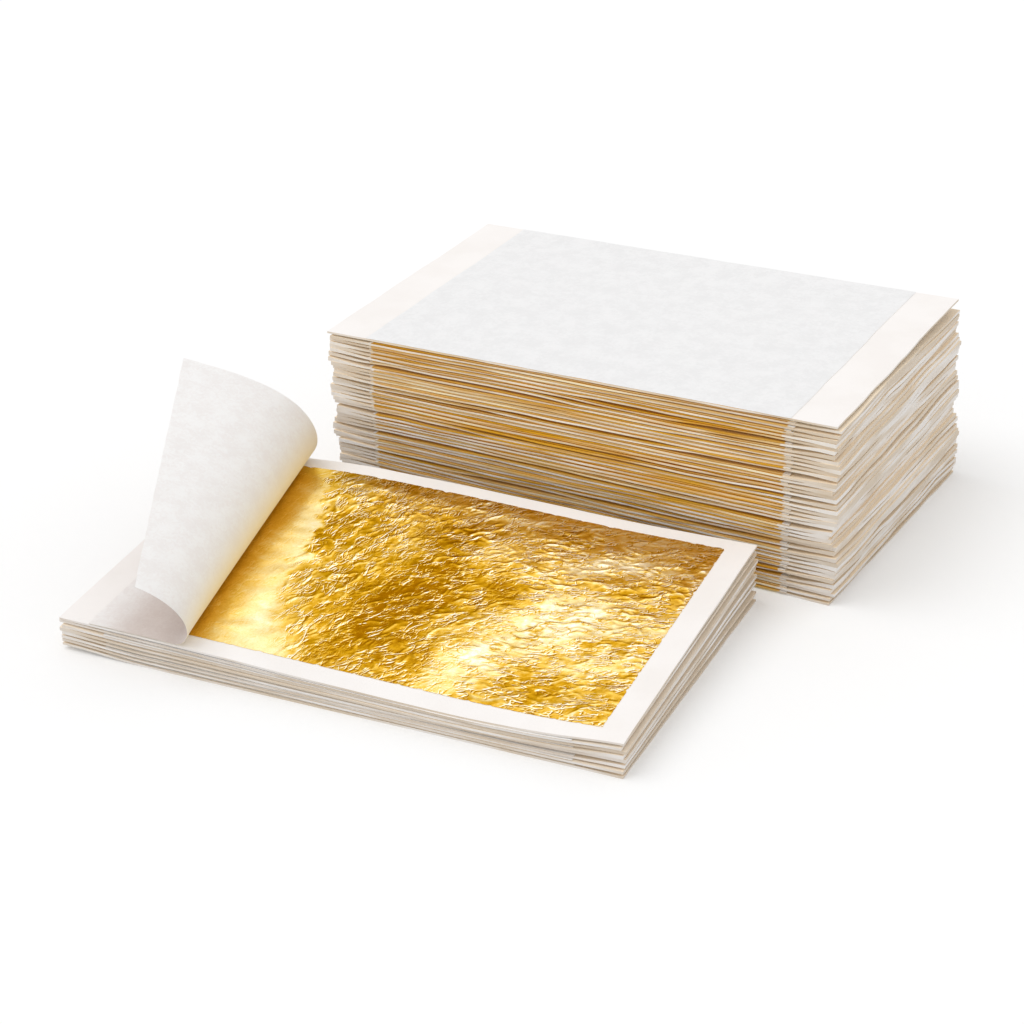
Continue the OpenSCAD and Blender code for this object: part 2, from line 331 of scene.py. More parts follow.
def giltAndGapShade(s):  # gold dust, with a painted gold reflection and painted shade in the gaps between sheets, on the front of what lies against a leaf that reaches to the front
    tree, given, out = openGroup("giltAndGapShade", "ShaderNodeTree", {
        "Place": "Vector", "Level": 0.0, "Left": 0.0, "Right": 0.08, "Blur": 0.0003, "Reach": 0.002,
        "Bare": 0.5, "Lightness": 1.0, "Cut Edge": 0.0}, {
        "Share": "Float", "Colour": "Color"})
    g = given.outputs
    parts = splitUp(tree, g["Place"])
    long, wide, perSheet = s["streak"]
    at = joinedUp(tree, over(tree, parts[0], long), over(tree, parts[1], wide),
                  over(tree, g["Level"], perSheet))
    streaks = speckle(tree, at, 1.0, 4.0, 0.62)
    coverNoise = speckle(tree, vectors(tree, "MULTIPLY", at, s["patch"]), 1.0, 4.0, 0.6)
    inside = times(tree, ramped(tree, parts[0], less(tree, g["Left"], g["Blur"]), g["Left"]),
                   ramped(tree, parts[0], g["Right"], plus(tree, g["Right"], g["Blur"]), 1.0, 0.0))
    near = ramped(tree, parts[1], 0.0, g["Reach"], 1.0, 0.0)
    alongPile, upPile = s["band"]
    bandAt = joinedUp(tree, times(tree, parts[0], alongPile), 0.0, times(tree, g["Level"], upPile))
    band = speckle(tree, bandAt, 1.0, 2.0)
    onCut = times(tree, g["Cut Edge"], scaled(tree, band, s["swing"], -s["swing"] / 2))
    bare = plus(tree, g["Bare"], onCut)
    covered = ramped(tree, coverNoise, less(tree, bare, s["fray"]), plus(tree, bare, s["fray"]))
    tree.links.new(times(tree, inside, near, covered), out.inputs["Share"])
    # the Lightness given is low on faces, as painted shade inside the gaps between sheets
    lightness = times(tree, ramped(tree, streaks, *s["streakSeen"]), g["Lightness"])
    tree.links.new(blended(tree, lightness, s["dark"], s["light"]), out.inputs["Colour"])
    return tree


grainGroup = paperGrain()
giltAndGapShadeGroup = giltAndGapShade(giltAndShadeLook)


def newMaterial(name):
    material = bpy.data.materials.new(name)
    material.use_nodes = True
    material.node_tree.nodes.clear()
    return material, material.node_tree


def attribute(tree, name, part="Fac"):
    return put(tree, "ShaderNodeAttribute", attribute_name=name, attribute_type="GEOMETRY").outputs[part]


def bumped(tree, height, look):  # the normal of a surface with that height
    return put(tree, "ShaderNodeBump", {
        "Height": height, "Strength": look["bump"], "Distance": look["tooth"]}).outputs[0]


def mixedShaders(tree, share, first, second):
    return put(tree, "ShaderNodeMixShader", {0: share, 1: first.outputs[0], 2: second.outputs[0]})


def surface(tree, shader):
    put(tree, "ShaderNodeOutputMaterial", {"Surface": shader.outputs[0]})


def stops(tree, value, colours):  # a colour for a value from 0 to 1, by way of several
    node = put(tree, "ShaderNodeValToRGB", {0: value})
    ramp = node.color_ramp.elements
    while len(ramp) < len(colours):
        ramp.new(0.5)
    for element, (place, colour) in zip(ramp, colours):
        element.position = place
        element.color = colour
    return node.outputs[0]


def giltAndGapShadeOn(tree, colour, place, level, edge, zone):  # a colour with the gold dust, painted gold reflection and painted gap shade over it
    bare, lightness = (scaled(tree, edge, zone[name][1] - zone[name][0], zone[name][0])
                       for name in ("bare", "lightness"))
    goldTint = grouped(tree, giltAndGapShadeGroup, {
        "Place": place, "Level": level, "Left": zone["left"], "Right": zone["right"], "Blur": zone["blur"],
        "Reach": zone["reach"], "Bare": bare, "Lightness": lightness, "Cut Edge": edge})
    return blended(tree, goldTint.outputs["Share"], colour, goldTint.outputs["Colour"])


paperLook = {
    "face": (0.95, 0.915, 0.89, 1), "faceCloud": (0.92, 0.88, 0.85, 1), "cloudSeen": (0.35, 0.7),
    # painted warm shade in the gaps between sheets, on a paper's faces near its edges: its colour and how far
    # in it reaches
    "gapShade": (0.95, 0.79, 0.58, 1), "gapShadeReach": 0.006, "size": (0.096, 0.06),
    "edge": (0.97, 0.93, 0.89, 1), "edgeShade": (0.79, 0.675, 0.54, 1),
    "streaks": (36.0, 36.0, 3.1), "streakSeen": (0.38, 0.6),  # on cut edges, per metre and per sheet
    "roughness": 0.75, "fibre": 0.0003, "cloud": 0.009, "tooth": 0.00004, "bump": 0.25}


def nearEdge(tree, place, size, reach):  # 1 at a sheet's edges, fading to 0 inside
    parts = splitUp(tree, place)
    inside = [sums(tree, "MINIMUM", parts[i], less(tree, size[i], parts[i])) for i in range(2)]
    return ramped(tree, sums(tree, "MINIMUM", *inside), 0.0, reach, 1.0, 0.0)


def paperMaterial(name, look, gapShading, giltAndShade=None):  # gold dust, painted gold reflection and painted gap shade where leaves reach to the front
    material, tree = newMaterial(name)
    place = attribute(tree, "sheetPlace", "Vector")
    level = attribute(tree, "level")
    edge = attribute(tree, "cutEdge")
    own = vectors(tree, "ADD", place, joinedUp(tree, 0.0, 0.0, level))  # so that no two sheets are alike
    grain = grouped(tree, grainGroup, {
        "Vector": own, "Fibre Size": look["fibre"], "Cloud Size": look["cloud"]})
    clouds = ramped(tree, grain.outputs["Clouds"], *look["cloudSeen"])
    face = blended(tree, clouds, look["face"], look["faceCloud"])
    # painted warm shade in the gaps between sheets, on the faces of the papers inside a pile near their edges
    gapShade = times(tree, nearEdge(tree, place, look["size"], look["gapShadeReach"]), gapShading)
    face = blended(tree, gapShade, face, look["gapShade"])
    streaks = speckle(tree, vectors(tree, "MULTIPLY", own, look["streaks"]), 1.0, 3.0, 0.55)
    cut = blended(tree, ramped(tree, streaks, *look["streakSeen"]), look["edge"], look["edgeShade"])
    colour = blended(tree, edge, face, cut)
    if giltAndShade:
        colour = giltAndGapShadeOn(tree, colour, place, level, edge, giltAndShade)
    surface(tree, put(tree, "ShaderNodeBsdfPrincipled", {
        "Base Color": colour, "Roughness": look["roughness"],
        "Normal": bumped(tree, grain.outputs["Height"], look)}))
    return material


tissueLook = {
    "light": (0.93, 0.925, 0.925, 1), "dark": (0.875, 0.87, 0.87, 1), "edge": (0.92, 0.84, 0.74, 1),
    "mottleSeen": (0.38, 0.62), "roughness": 0.8, "through": 0.06, "fibre": 0.0009, "cloud": 0.004,
    "tooth": 0.00006, "bump": 0.35}
peeledLook = {
    **tissueLook, "light": (1.0, 0.99, 0.98, 1), "dark": (0.95, 0.92, 0.905, 1),
    "edge": (0.97, 0.95, 0.93, 1), "fibre": 0.0008, "cloud": 0.0035,
    "inside": (0.725, 0.655, 0.615, 1),  # the shade inside its curl
    "glow": (1.0, 0.90, 0.70, 1)}        # the gold's light at the foot of its outside


def tissueMaterial(name, look, giltAndShade=None, curled=False):
    material, tree = newMaterial(name)
    place = attribute(tree, "sheetPlace", "Vector")
    level = attribute(tree, "level")
    grain = grouped(tree, grainGroup, {
        "Vector": place, "Fibre Size": look["fibre"], "Cloud Size": look["cloud"]})
    mottle = scaled(tree, grain.outputs["Height"], 0.5, times(tree, grain.outputs["Clouds"], 0.5))
    colour = blended(tree, ramped(tree, mottle, *look["mottleSeen"]), look["light"], look["dark"])
    edge = attribute(tree, "cutEdge")
    colour = blended(tree, edge, colour, look["edge"])
    if giltAndShade:
        colour = giltAndGapShadeOn(tree, colour, place, level, edge, giltAndShade)
    if curled:
        # painted shade inside the curl, and a painted gold glow at the foot of its outside
        inside, glow = (attribute(tree, label) for label in ("inside", "glow"))
        colour = blended(tree, inside, colour, look["inside"], "MULTIPLY")
        colour = blended(tree, glow, colour, look["glow"])
    normal = bumped(tree, mottle, look)
    front = put(tree, "ShaderNodeBsdfPrincipled", {
        "Base Color": colour, "Roughness": look["roughness"], "Normal": normal})
    through = put(tree, "ShaderNodeBsdfTranslucent", {"Color": colour, "Normal": normal})
    surface(tree, mixedShaders(tree, look["through"], front, through))
    return material


foilLines = {
    "scales": [  # length and width in mm of the noise, half the width of a line in it, strength
        (6.0, 2.8, 0.036, 1.0), (3.4, 1.5, 0.05, 0.9), (1.8, 0.8, 0.07, 0.7)],
    "turns": (78, 52, 12),         # how the lines run at the left, in the middle and at the right of the leaf
    "patch": (350, 450, 1),        # patches of lines to a metre, along and across
    "seen": (0.38, 0.58),          # the noise over which a patch's lines begin to show
    "wobble": 0.9, "highest": 1.4}


def foilCreases(s):  # thin raised lines, finer than the mesh, where a stretched noise passes its middle value
    tree, given, out = openGroup("foilCreases", "ShaderNodeTree", {
        "Vector": "Vector", "Runs": "Vector"}, {"Height": "Float"})
    runs = splitUp(tree, given.outputs["Runs"])
    left = less(tree, less(tree, 1.0, runs[0]), runs[1])
    total = 0.0
    for run, (share, turn) in enumerate(zip((left, runs[0], runs[1]), s["turns"])):
        turned = put(tree, "ShaderNodeVectorRotate", {
            "Vector": given.outputs["Vector"],
            "Angle": math.radians(-turn)}, rotation_type="Z_AXIS").outputs[0]
        patches = speckle(tree, vectors(tree, "MULTIPLY", turned, s["patch"]), 1.0, 1.0)
        seen = ramped(tree, patches, *s["seen"])
        for k, (long, wide, line, strength) in enumerate(s["scales"]):
            cells = vectors(tree, "MULTIPLY", turned, (1 / (long * mm), 1 / (wide * mm), 1.0))
            cells = vectors(tree, "ADD", cells, (0, 0, 2.7 * k + 9.1 * run))  # a noise of its own
            noise = speckle(tree, cells, 1.0, 0.5, 0.5, s["wobble"])
            apart = sums(tree, "ABSOLUTE", less(tree, noise, 0.5))
            near = ramped(tree, apart, 0.0, line, 1.0, 0.0)
            total = scaled(tree, times(tree, near, seen), times(tree, share, strength), total)
    height = sums(tree, "MINIMUM", times(tree, total, runs[2]), s["highest"])
    tree.links.new(height, out.inputs["Height"])
    return tree


foilGroup = foilCreases(foilLines)
leafLook = {
    "gold": [  # from its darkest to its palest
        (0.0, (0.28, 0.105, 0.002, 1)), (0.3, (0.56, 0.29, 0.010, 1)), (0.55, (0.80, 0.51, 0.09, 1)),
        (0.8, (0.92, 0.775, 0.41, 1)), (1.0, (1.0, 0.96, 0.82, 1))],
    "edgeTint": (1.0, 0.8, 0.4, 1), "roughness": 0.28, "grain": 0.00035, "tooth": 0.00006, "bump": 0.35,
    "cast": (0.95, 0.72, 0.25, 1),      # the warm light that it throws on what is near
    "plain": (0.36, 0.22),              # how much the grain of a pressed leaf lifts its tone, from what
    "pale": (0.55, 0.78),               # the tones over which the gold turns pale
    "litFrom": (-0.00009, 0.00007, 0),  # the side from which the painted light on its creases falls
    "lit": 0.75, "ridge": 0.2,          # how strong the painted light and shade on them are, and the painted highlight on their ridges
    "paleLit": 0.4, "paleRidge": 0.5}   # how much less where the gold is pale


def leafMaterial(name, look, relief=False, ends=None):  # relief leaves take their tone from the mesh, painted light and shade included
    material, tree = newMaterial(name)
    place = attribute(tree, "sheetPlace", "Vector")
    fine = speckle(tree, place, 1 / look["grain"], 3.0, 0.6, 0.8)
    shade = scaled(tree, fine, *look["plain"])
    height = fine
    if relief:
        tone = attribute(tree, "tone")
        pale = ramped(tree, tone, *look["pale"])
        runs = attribute(tree, "runs", "Vector")
        ridges = []
        for side in (1, -1):
            aside = vectors(tree, "SUBTRACT", place, tuple(side * part for part in look["litFrom"]))
            ridges.append(grouped(tree, foilGroup, {"Vector": aside, "Runs": runs}).outputs["Height"])
        # painted light and shade from the creases' height a little to each side, and a painted highlight on
        # their ridges
        lit = times(tree, less(tree, *ridges), scaled(tree, pale, -look["paleLit"], look["lit"]))
        height = times(tree, plus(tree, *ridges), 0.5)
        raised = times(tree, height, scaled(tree, pale, -look["paleRidge"], look["ridge"]))
        shade = plus(tree, scaled(tree, fine, 0.3, -0.15), tone, plus(tree, lit, raised))
        height = scaled(tree, fine, 0.3, height)
    colour = stops(tree, shade, look["gold"])
    shader = put(tree, "ShaderNodeBsdfPrincipled", {
        "Base Color": colour, "Metallic": 1.0, "Roughness": look["roughness"],
        "Specular Tint": look["edgeTint"], "Normal": bumped(tree, height, look)})
    if ends:  # worn away at its two ends, where paper dust covers it
        along = splitUp(tree, place)[0]
        left = ramped(tree, along, ends["left"] - ends["blur"], ends["left"])
        right = ramped(tree, along, ends["right"], ends["right"] + ends["blur"], 1.0, 0.0)
        kept = times(tree, left, right)
        tree.links.new(blended(tree, kept, paperLook["edge"], colour), shader.inputs["Base Color"])
        tree.links.new(kept, shader.inputs["Metallic"])
    cast = put(tree, "ShaderNodeBsdfDiffuse", {"Color": look["cast"]})
    rays = put(tree, "ShaderNodeLightPath").outputs
    surface(tree, mixedShaders(tree, rays["Is Diffuse Ray"], shader, cast))
    return material


# Each zone has its ends, and how bare and how light the gold tint is on a face and on a cut edge; the darker
# tint on faces is painted shade inside the gaps between sheets.
paperZone = {
    "left": 8.7 * mm, "right": 86.4 * mm, "blur": 0.3 * mm, "reach": 6 * mm,
    "bare": (0.2, 0.53), "lightness": (0.2, 1.0)}
tissueZone = {
    "left": 0.7 * mm, "right": 78.6 * mm, "blur": 0.3 * mm, "reach": 6 * mm,
    "bare": (0.1, 0.1), "lightness": (0.2, 0.35)}
# the number after the look is how much painted warm shade lies in the gaps between a pile's sheets
paperOpenTop = paperMaterial("openTopPaper", paperLook, 0.0)
paperOpen = paperMaterial("openPaper", paperLook, 0.7)
paperClosedTop = paperMaterial("closedTopPaper", paperLook, 0.0, paperZone)
paperClosed = paperMaterial("closedPaper", paperLook, 0.9, paperZone)
insideLook = {  # of the tissues inside the piles
    **tissueLook, "light": (0.97, 0.945, 0.92, 1), "dark": (0.93, 0.89, 0.855, 1),
    "edge": (0.80, 0.64, 0.46, 1)}
tissuePlain = tissueMaterial("tissue", insideLook)
tissueTop = tissueMaterial("topTissue", {**tissueLook, "edge": tissueLook["light"]})
tissueGiltAndShade = tissueMaterial("giltAndShadeTissue", insideLook, tissueZone)
tissuePeeled = tissueMaterial("peeledTissue", peeledLook, curled=True)
leafPlain = leafMaterial("pressedLeaf", leafLook)
leafClosed = leafMaterial("closedLeaf", leafLook, ends=tissueZone)
leafCreased = leafMaterial("creasedLeaf", leafLook, relief=True)
print("materials made")


# The two piles

def eased(value, low, high):
    share = np.clip((value - low) / (high - low), 0, 1)
    return share * share * (3 - 2 * share)


stackTree = sheetStack(stackReach)
openSets = sum(node.startswith("open_backing_") for node in frame["nodes"])
packets = sum(node.startswith("closed_backings_") for node in frame["nodes"])
openPaper = sheetsOf(f"open_backing_{openSets}")[0]
openPile = {
    "Clump": 0.1 * mm, "Clump Sheets": 3.2, "Clump Size": 40 * mm, "Clump Turns": 0.5,
    "Cockle": 0.1 * mm, "Cockle Size": 40 * mm, "Wave": 0.15 * mm, "Wave Size": 12 * mm,
    "Unevenness": 0.1 * mm, "Seed": 4.0}
closedPile = {
    "Clump": 0.13 * mm, "Clump Sheets": 5.6, "Clump Size": 40 * mm, "Clump Turns": 0.5,
    "Cockle": 0.3 * mm, "Cockle Size": 34 * mm, "Wave": 0.5 * mm, "Wave Size": 15 * mm, "Wave Sheets": 10.0,
    "Hang": 1.3 * mm, "Unevenness": 0.55 * mm, "Seed": 9.0}
hanging = 7  # sheets of the closed pile that hang down at its back right corner, below the top sheet
loosening = 4.0  # sheets above the table at which a sheet is as free as any
filled = 2.6  # how many times thicker a tissue of the closed pile looks, with the air that its cockles hold
swollen = 0.38 * mm  # how much thicker a paper is at its two ends, where no leaf or tissue lies on it
leafPressed = {"sink": 0.015 * mm, "thin": 0.3}  # how the closed pile's top leaf clings to its paper
tissuePressed = {"sink": 0.05 * mm, "thin": 0.4}  # how its top tissue does


settled = {  # how far the open pile's top paper lies below its four level corners, in mm; negative is above
    "front": [(0, 0.2), (20, 0.4), (40, 0.7), (70, 1.1), (82, 0.95), (96, 0)],  # along the front edge
    "roll": [(0, 0.1), (20, 0.2), (45, 0.6), (70, 0.75), (85, 0.4), (96, 0)],  # more at its very edge
    "rollDepth": 2.5,
    "back": [(0, 0.4), (11, 0.1), (24, -0.7), (45, -0.4), (75, 0.5), (96, 0.4)],  # along the back edge
    "leftLift": 0.75, "leftReach": 16}  # how far the lowest papers' left ends have lifted from the table


def rounded(x, points):  # a smooth curve through a few points
    reach = 4.0
    return sum(np.interp(x + step, *zip(*points)) for step in (-reach, -reach / 2, 0, reach / 2, reach)) / 5


def sagAt(s, x, y, share):  # from a place on the open paper in mm and the sheet's share of the pile's height
    depth = np.clip(y / (openPaper["size"][1] / mm), 0, 1)
    front = rounded(x, s["front"]) + rounded(x, s["roll"]) * (1 - eased(y, 0, s["rollDepth"]))
    lifted = s["leftLift"] * (1 - eased(x, 0, s["leftReach"])) * (1 - share)
    return (front * (1 - depth) + rounded(x, s["back"]) * depth) * share - lifted


def onOpenPaper(points):  # places in mm in the frame of the top open paper
    return (points - openPaper["corner"]) @ openPaper["axes"].T / mm


def settle(piece, share):
    mesh = piece.data
    points = np.empty(3 * len(mesh.vertices))
    mesh.vertices.foreach_get("co", points)
    points = points.reshape(-1, 3)
    local = onOpenPaper(points)
    points[:, 2] -= sagAt(settled, local[:, 0], local[:, 1], share) * mm
    mesh.vertices.foreach_set("co", points.ravel())
    mesh.update()


def finished(piece, node):
    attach(piece, nodeBody[node])
    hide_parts(node)


def pileSheets(name, node, firstLevel, topLevel, pile, material, slot, sink=0.0, thin=1.0):
    sheets = sheetsOf(node)
    mesh = bpy.data.meshes.new(name)
    corners = [sheet["corner"] - sink * sheet["axes"][2] for sheet in sheets]
    mesh.from_pydata([corner.tolist() for corner in corners], [], [])
    turns = [part for sheet in sheets for part in sheet["turn"]]
    levels = [float(firstLevel + i) for i in range(len(sheets))]
    hangs = [max(0.0, 1 - (topLevel - 1 - level) / hanging) * (level < topLevel) for level in levels]
    looseness = [min(1.0, level / loosening, (topLevel - level) / loosening) for level in levels]
    store(mesh, "turn", turns, "FLOAT_VECTOR")
    for label, values in (("level", levels), ("hang", hangs), ("loose", looseness)):
        store(mesh, label, values)
    length, width, thickness = sheets[0]["size"]
    piece = grown(name, mesh, stackTree, {
        "Length": float(length), "Width": float(width), "Thickness": float(thickness) * thin,
        "Swell": swollen if slot == "backing_paper" else 0.0, "Material": material, **pile})
    finished(piece, node)
    return piece


for i in range(1, openSets + 1):
    kinds = [("openPaper", "open_backing", paperOpenTop if i == openSets else paperOpen, "backing_paper")]
    if i < openSets:
        kinds += [
            ("openLeaf", "open_leaf", leafPlain, "gold_leaf"),
            ("openTissue", "open_tissue", tissuePlain, "tissue")]
    for name, node, material, slot in kinds:
        sheet = pileSheets(f"{name}{i}", f"{node}_{i}", i - 1, openSets - 1, openPile, material, slot)
        settle(sheet, (i - 1) / (openSets - 1))

packetSets = len(sheetsOf("closed_backings_1"))
topSet = packets * packetSets
for k in range(1, packets + 1):
    for name, node, material, slot, thin in (
            ("closedPapers", "closed_backings", paperClosed, "backing_paper", 1.0),
            ("closedLeaves", "closed_leaves", leafClosed, "gold_leaf", 1.0),
            ("closedTissues", "closed_tissues", tissueGiltAndShade, "tissue", filled)):
        pileSheets(f"{name}{k}", f"{node}_{k}", (k - 1) * packetSets, topSet, closedPile, material, slot,
                   thin=thin)
for name, node, material, slot, clinging in (
        ("closedTopPaper", "closed_top_backing", paperClosedTop, "backing_paper", {}),
        ("closedTopLeaf", "closed_top_leaf", leafClosed, "gold_leaf", leafPressed),
        ("closedTopTissue", "closed_top_tissue", tissueTop, "tissue", tissuePressed)):
    pileSheets(name, node, topSet, topSet, closedPile, material, slot, **clinging)
print("piles made")


# Noise and meshes for the two sheets that are shaped one by one

def gradientNoise(x, y, seed):  # smooth noise from about -1 to 1, with one wave to about two units
    chance = np.random.default_rng(seed)
    order = chance.permutation(256)
    angle = chance.uniform(0, 2 * math.pi, 256)
    column, row = np.floor(x).astype(int), np.floor(y).astype(int)
    right, up = x - column, y - row

    def corner(i, j):
        turn = angle[order[(order[(column + i) % 256] + row + j) % 256]]
        return np.cos(turn) * (right - i) + np.sin(turn) * (up - j)

    easeRight, easeUp = (t ** 3 * (t * (6 * t - 15) + 10) for t in (right, up))
    low = corner(0, 0) * (1 - easeRight) + corner(1, 0) * easeRight
    high = corner(0, 1) * (1 - easeRight) + corner(1, 1) * easeRight
    return 1.4 * (low * (1 - easeUp) + high * easeUp)


def octaves(x, y, size, seed, count=3):
    return sum(0.5 ** k * gradientNoise(x / size * 2 ** k, y / size * 2 ** k, seed + k) for k in range(count))


# A thin closed sheet. Its underside keeps one point in so many (step), and may have values of its own.
def skinned(name, upper, lower, step, material, attributes, undersides=None):
    columns, rows = upper.shape[:2]
    count = columns * rows
    index = np.arange(count).reshape(columns, rows)
    quads = np.stack([index[:-1, :-1], index[1:, :-1], index[1:, 1:], index[:-1, 1:]], -1).reshape(-1, 4)
    rim = np.concatenate([index[:, 0], index[-1, 1:], index[-2::-1, -1], index[0, -2:0:-1]])
    kept = np.zeros(count, bool)
    kept[index[::step, ::step].ravel()] = kept[rim] = True
    used = np.flatnonzero(kept)
    below = np.zeros(count, int)
    below[used] = count + np.arange(len(used))
    onward = np.roll(rim, -1)
    faces = quads.tolist() + np.stack([below[rim], below[onward], onward, rim], -1).tolist()
    for i in range(0, columns - 1, step):
        for j in range(0, rows - 1, step):
            ring = np.concatenate([
                index[i, j:j + step], index[i:i + step, j + step],
                index[i + step, j + step:j:-1], index[i + step:i:-1, j]])
            faces.append(below[ring[kept[ring]]].tolist())
    mesh = bpy.data.meshes.new(name)
    mesh.from_pydata(np.concatenate([upper.reshape(-1, 3), lower.reshape(-1, 3)[used]]).tolist(), [], faces)
    for label, values in attributes.items():
        under = (undersides or {}).get(label, values).reshape(count, -1)[used]
        both = np.concatenate([values.reshape(count, -1), under])
        store(mesh, label, both.ravel(), "FLOAT_VECTOR" if values.ndim == 3 else "FLOAT")
    mesh.materials.append(material)
    mesh.shade_smooth()
    onRim = np.zeros(len(mesh.vertices), bool)
    onRim[rim] = onRim[below[rim]] = True
    ends = np.empty(2 * len(mesh.edges), int)
    mesh.edges.foreach_get("vertices", ends)
    sharp = mesh.attributes.new("sharp_edge", "BOOLEAN", "EDGE")
    sharp.data.foreach_set("value", onRim[ends].reshape(-1, 2).all(axis=1))
    return newObject(name, mesh)


def onTop(sheet, x, y, z):  # points in the frame of a sheet, in mm from its front left corner and underside
    return sheet["corner"] + np.stack([x, y, z], -1) @ sheet["axes"] * mm


# The top tissue, which curls up from the pile as part of a cone (lengths in mm, angles in degrees)

curl = {
    "margin": 5.4, "frontLength": 31.9, "backLength": 41.5,  # bare paper to its left, and its cut lengths
    "liftFront": 20.9, "liftBack": 11,                       # where it leaves the pile
    "apex": 145, "turn": 187.5, "length": 7.4, "opening": 0.65, "reach": 0.42, "steps": 240,
    "rise": 0.43, "thickness": 0.06, "flatColumns": 24, "curlColumns": 140, "rows": 96, "spread": 1.35,
    "buckle": 0.11, "buckleSize": 11, "endWave": (0.12, 9),  # the height and size of waves along its free end
    "shade": (0.2, 9),       # how shaded its top is at its left edge, and how far from there it is full
    "glow": (1.2, 3.6)}      # degrees past the lifting line over which the gold's light on its outside fades


def peeledTissue(s):
    step = s["reach"] / s["steps"]

    def bendAt(place):  # how far it has turned, in degrees, at a place along its cross-section
        turning = s["turn"] * (1 - np.exp(-place * s["apex"] / s["length"]))
        return turning - s["opening"] * s["apex"] * place

    middles = np.radians(bendAt(step * (np.arange(s["steps"]) + 0.5)))
    sectionRight = np.append(0, np.cumsum(step * np.cos(middles)))
    sectionUp = np.append(0, np.cumsum(step * np.sin(middles)))
    sectionBend = bendAt(step * np.arange(s["steps"] + 1))
    rays = np.stack([sectionRight, np.ones(s["steps"] + 1), sectionUp], -1)
    rays /= np.linalg.norm(rays, axis=1, keepdims=True)
    chords = np.linalg.norm(np.diff(rays, axis=0), axis=1)
    sectionAngle = np.append(0, np.cumsum(2 * np.degrees(np.arcsin(chords / 2))))

    width = openPaper["size"][1] / mm
    line = np.array([s["liftBack"] - s["liftFront"], width])
    line /= np.linalg.norm(line)
    side = np.array([line[1], -line[0]])
    apex = np.array([s["liftFront"], 0]) - line * s["apex"] / line[1]
    along = np.linspace(0, 1, s["rows"])[None, :]

    def column(lift, free):
        flat = s["margin"] + (lift - s["margin"]) * np.linspace(0, 1, s["flatColumns"])[:-1]
        rest = lift + (free - lift) * np.linspace(0, 1, s["curlColumns"]) ** s["spread"]
        return np.concatenate([flat, rest])[:, None]

    front = column(s["liftFront"], s["margin"] + s["frontLength"])
    back = column(s["liftBack"], s["margin"] + s["backLength"])
    x = front + (back - front) * along
    y = width * along + 0 * x
    freeEnd = eased(np.linspace(0, 1, len(front)), 0.9, 1)[:, None]
    waveHeight, waveSize = s["endWave"]
    x = x + waveHeight * octaves(y, 0 * y, waveSize, 21) * freeEnd
    away = np.stack([x - apex[0], y - apex[1]], -1)
    angle = np.degrees(np.arctan2(away @ side, away @ line))
    right, up, bend = (
        np.interp(angle, sectionAngle, values) for values in (sectionRight, sectionUp, sectionBend))
    lifted = angle > 0
    reach = np.linalg.norm(away, axis=-1) / np.sqrt(right ** 2 + 1 + up ** 2)
    risen = apex + reach[..., None] * (line + right[..., None] * side)
    place = np.where(lifted[..., None], risen, np.stack([x, y], -1))
    height = np.where(lifted, reach * up, 0)
    turned = np.radians(np.where(lifted, bend, 0))
    normal = np.concatenate([-np.sin(turned)[..., None] * side, np.cos(turned)[..., None]], -1)

    curved = eased(angle, 0.5, 5)
    buckled = s["buckle"] * octaves(x, y, s["buckleSize"], 31) * curved
    flatShare = 1 - eased(angle, -3, 0.5)
    nearMargin = eased(x, s["margin"], s["margin"] + 3)
    buckled += 0.5 * s["buckle"] * (1 + octaves(x, y, 5, 41)) * flatShare * nearMargin
    lowerFace = np.concatenate([place, height[..., None]], -1) + buckled[..., None] * normal
    upperFace = lowerFace + s["thickness"] * normal
    liftLine = s["liftFront"] + (s["liftBack"] - s["liftFront"]) * y / width
    sag = sagAt(settled, np.minimum(x, liftLine), y, 1.0)
    upper, lower = (onTop(openPaper, face[..., 0], face[..., 1], face[..., 2] + s["rise"] - sag)
                    for face in (upperFace, lowerFace))
    flatPlace = np.stack([x, y, 0 * x], -1) * mm
    nearFoot = 1 - eased(angle, *s["glow"])
    leastShade, shadeReach = s["shade"]
    shaded = leastShade + (1 - leastShade) * eased(x, s["margin"], s["margin"] + shadeReach)
    piece = skinned("peeledTissue", upper, lower, 1, tissuePeeled, {
        "sheetPlace": flatPlace, "inside": shaded, "glow": 0 * x}, {
        "inside": 0 * x, "glow": nearFoot})
    finished(piece, "peeled_tissue")


peeledTissue(curl)
print("peeled tissue made")


# The bare gold leaf (lengths in mm from its front left corner, turns in degrees)

